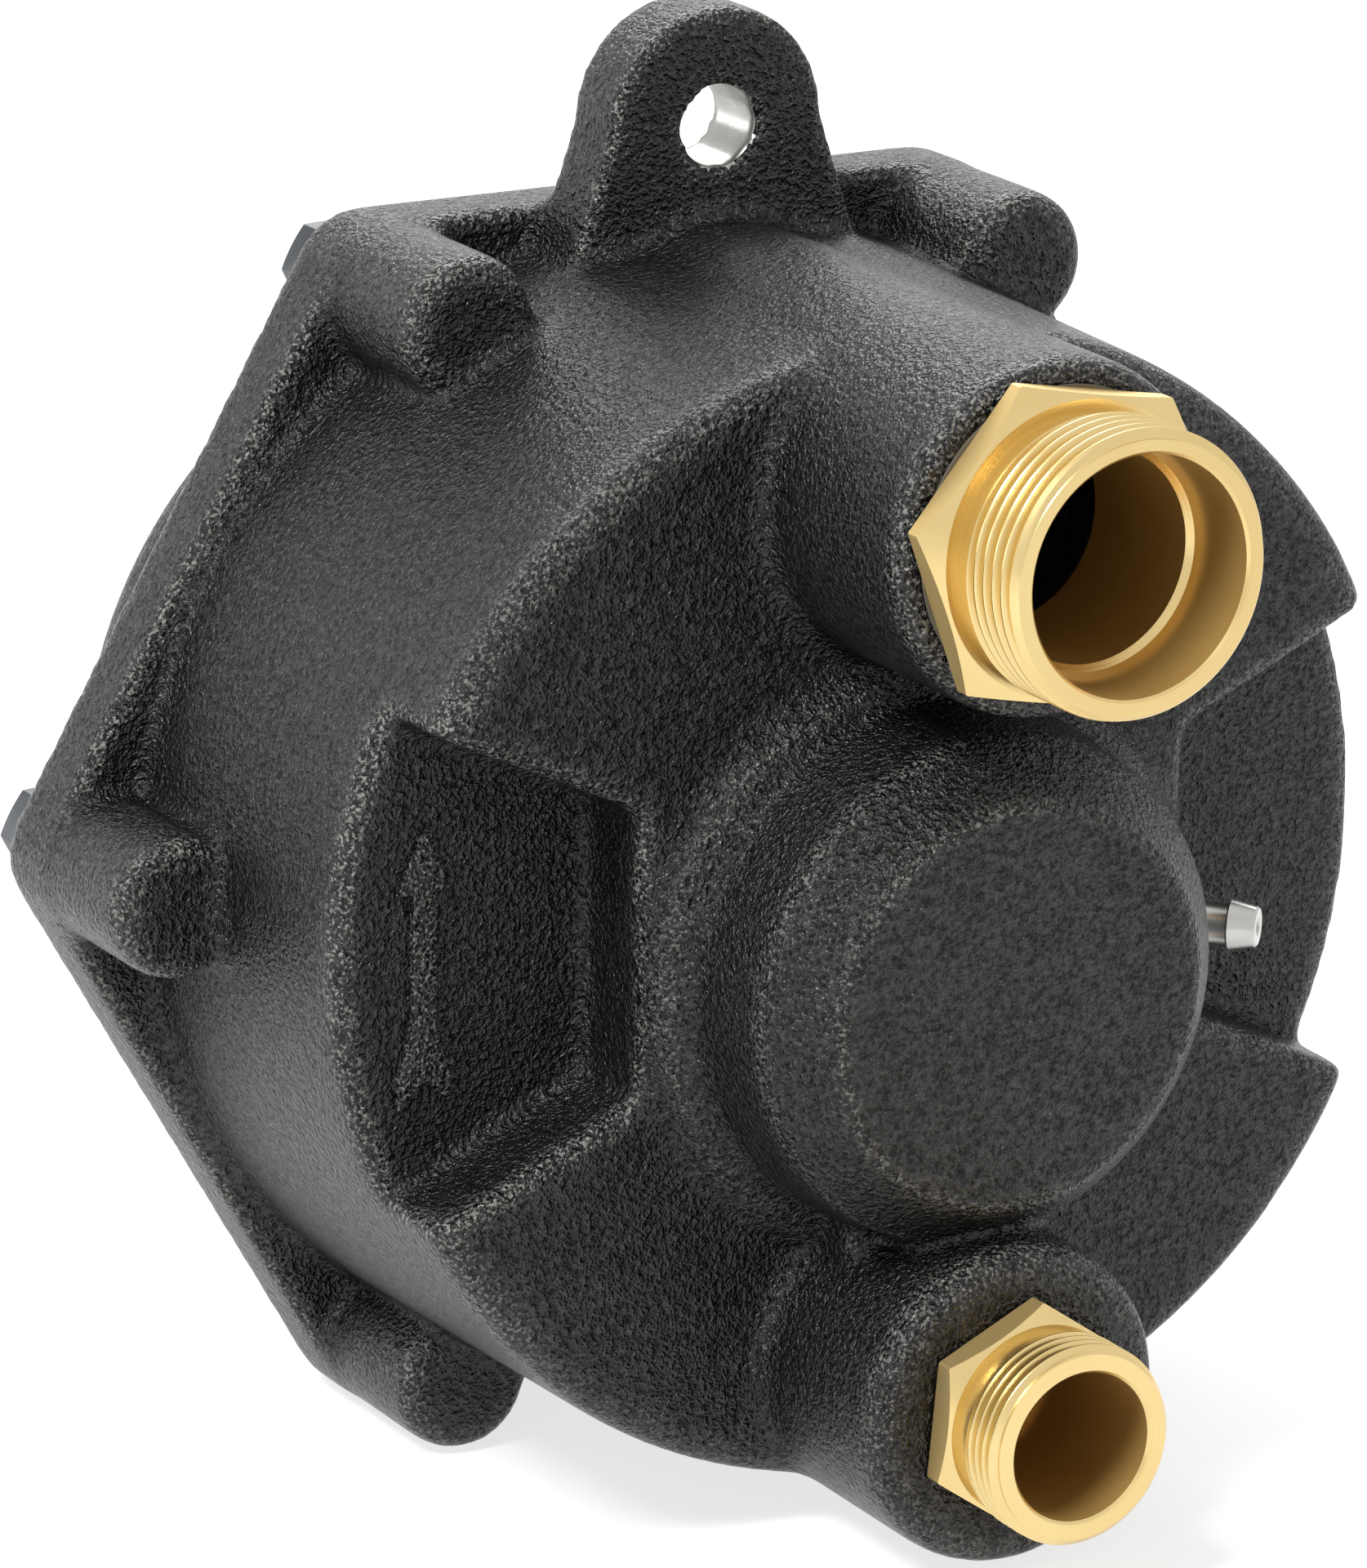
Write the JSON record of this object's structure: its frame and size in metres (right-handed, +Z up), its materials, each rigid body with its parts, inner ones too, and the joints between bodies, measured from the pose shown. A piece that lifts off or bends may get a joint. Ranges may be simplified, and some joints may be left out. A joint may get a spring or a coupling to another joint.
{
  "type": "power take-off pump",
  "caption": "Black cast centrifugal pump that slides on a splined tractor stub, with two brass screwed nipples, a grease nipple and a torque lug",
  "frame": {"origin": "centre of the splined socket's mouth, on the shaft axis", "axes": "+Z up through the torque lug, -Y forward out of the nipples, +Y towards the tractor"},
  "size_m": [0.21, 0.2378, 0.2152],
  "materials": {
    "black_cast_iron": "black semi-gloss paint on rough cast iron",
    "brass": "bright turned brass",
    "zinc_steel": "zinc plated steel",
    "machined_steel": "bare machined and ground steel",
    "bronze": "cast or turned bronze",
    "grey_cast_iron": "machined grey iron",
    "copper": "soft copper washers",
    "gasket_fibre": "pressed fibre sheet",
    "black_rubber": "black nitrile rubber",
    "seal_ceramic": "fine ground ceramic",
    "seal_carbon": "lapped carbon"
  },
  "bodies": {
    "casing": {"front_casing": "black_cast_iron", "rear_cover": "black_cast_iron", "cover_gasket": "gasket_fibre", "cover_bolts": "zinc_steel", "oil_plugs": "zinc_steel", "oil_plug_washers": "copper", "suction_nipple": "brass", "suction_sealing_ring": "gasket_fibre", "pressure_nipple": "brass", "pressure_sealing_ring": "gasket_fibre", "grease_nipple": "zinc_steel", "grease_nipple_spring": "machined_steel", "partition_plate": "grey_cast_iron", "partition_o_ring": "black_rubber", "ring_gear": "machined_steel", "ring_gear_dowels": "machined_steel", "input_bearing_outer": "machined_steel", "input_bearing_circlip": "machined_steel", "input_oil_seal": "black_rubber", "shaft_bearing_outers": "machined_steel", "shaft_bearing_circlip": "machined_steel", "shaft_oil_seal": "black_rubber", "water_seal_seat": "seal_ceramic", "wear_plate": "grey_cast_iron", "wear_plate_screws": "zinc_steel", "front_shaft_seal": "black_rubber", "front_bush": "bronze"},
    "input_hub": {"input_hub": "machined_steel", "input_bearing_inner": "machined_steel", "planet_pins": "machined_steel", "planet_circlips": "machined_steel", "hub_lock_screw": "zinc_steel"},
    "lock_pin": {"hub_lock_pin": "zinc_steel", "hub_lock_spring": "machined_steel"},
    "pump_rotor": {"pump_shaft": "machined_steel", "shaft_bearing_inners": "machined_steel", "shaft_spacer": "machined_steel", "shaft_circlip": "machined_steel", "water_seal_face": "seal_carbon", "water_seal_bellows": "black_rubber", "impeller": "bronze", "impeller_key": "machined_steel", "impeller_washer": "zinc_steel", "impeller_nut": "zinc_steel"},
    "input_balls": {"input_bearing_balls": "machined_steel", "input_bearing_cage": "bronze"},
    "shaft_balls": {"shaft_bearing_balls": "machined_steel", "shaft_bearing_cages": "bronze"},
    "grease_ball": {"grease_nipple_ball": "machined_steel"},
    "planet_1": {"planet_gear_1": "machined_steel", "planet_bush_1": "bronze"},
    "planet_2": {"planet_gear_2": "machined_steel", "planet_bush_2": "bronze"},
    "planet_3": {"planet_gear_3": "machined_steel", "planet_bush_3": "bronze"}
  },
  "joints": [
    {"name": "input_spin", "type": "hinge", "parent": "casing", "child": "input_hub", "pos_m": [0, -0.0945, 0], "axis": [0, 1, 0], "continuous": true},
    {"name": "pump_spin", "type": "hinge", "parent": "casing", "child": "pump_rotor", "pos_m": [0, -0.0945, 0], "axis": [0, 1, 0], "continuous": true},
    {"name": "input_balls_spin", "type": "hinge", "parent": "casing", "child": "input_balls", "pos_m": [0, -0.0945, 0], "axis": [0, 1, 0], "continuous": true},
    {"name": "shaft_balls_spin", "type": "hinge", "parent": "casing", "child": "shaft_balls", "pos_m": [0, -0.0945, 0], "axis": [0, 1, 0], "continuous": true},
    {"name": "lock_pin_pull", "type": "slide", "parent": "input_hub", "child": "lock_pin", "axis": [0, 0, 1], "range_m": [0, 0.0025], "stiffness_N_per_m": 1200, "springref_m": -0.004, "deforming": ["hub_lock_spring"]},
    {"name": "grease_ball_press", "type": "slide", "parent": "casing", "child": "grease_ball", "axis": [-0.7071, 0.7071, 0], "range_m": [0, 0.0008], "stiffness_N_per_m": 300, "springref_m": -0.001},
    {"name": "planet_1_spin", "type": "hinge", "parent": "input_hub", "child": "planet_1", "pos_m": [0, -0.0735, 0.03375], "axis": [0, 1, 0], "continuous": true},
    {"name": "planet_2_spin", "type": "hinge", "parent": "input_hub", "child": "planet_2", "pos_m": [-0.02923, -0.0735, -0.01688], "axis": [0, 1, 0], "continuous": true},
    {"name": "planet_3_spin", "type": "hinge", "parent": "input_hub", "child": "planet_3", "pos_m": [0.02923, -0.0735, -0.01688], "axis": [0, 1, 0], "continuous": true}
  ],
  "couplings": [
    {"joint": "pump_spin", "follows": "input_spin", "ratio": 6},
    {"joint": "input_balls_spin", "follows": "input_spin", "ratio": 0.43308},
    {"joint": "shaft_balls_spin", "follows": "input_spin", "ratio": 2.3826},
    {"joint": "planet_1_spin", "follows": "input_spin", "ratio": -2.5},
    {"joint": "planet_2_spin", "follows": "input_spin", "ratio": -2.5},
    {"joint": "planet_3_spin", "follows": "input_spin", "ratio": -2.5}
  ]
}
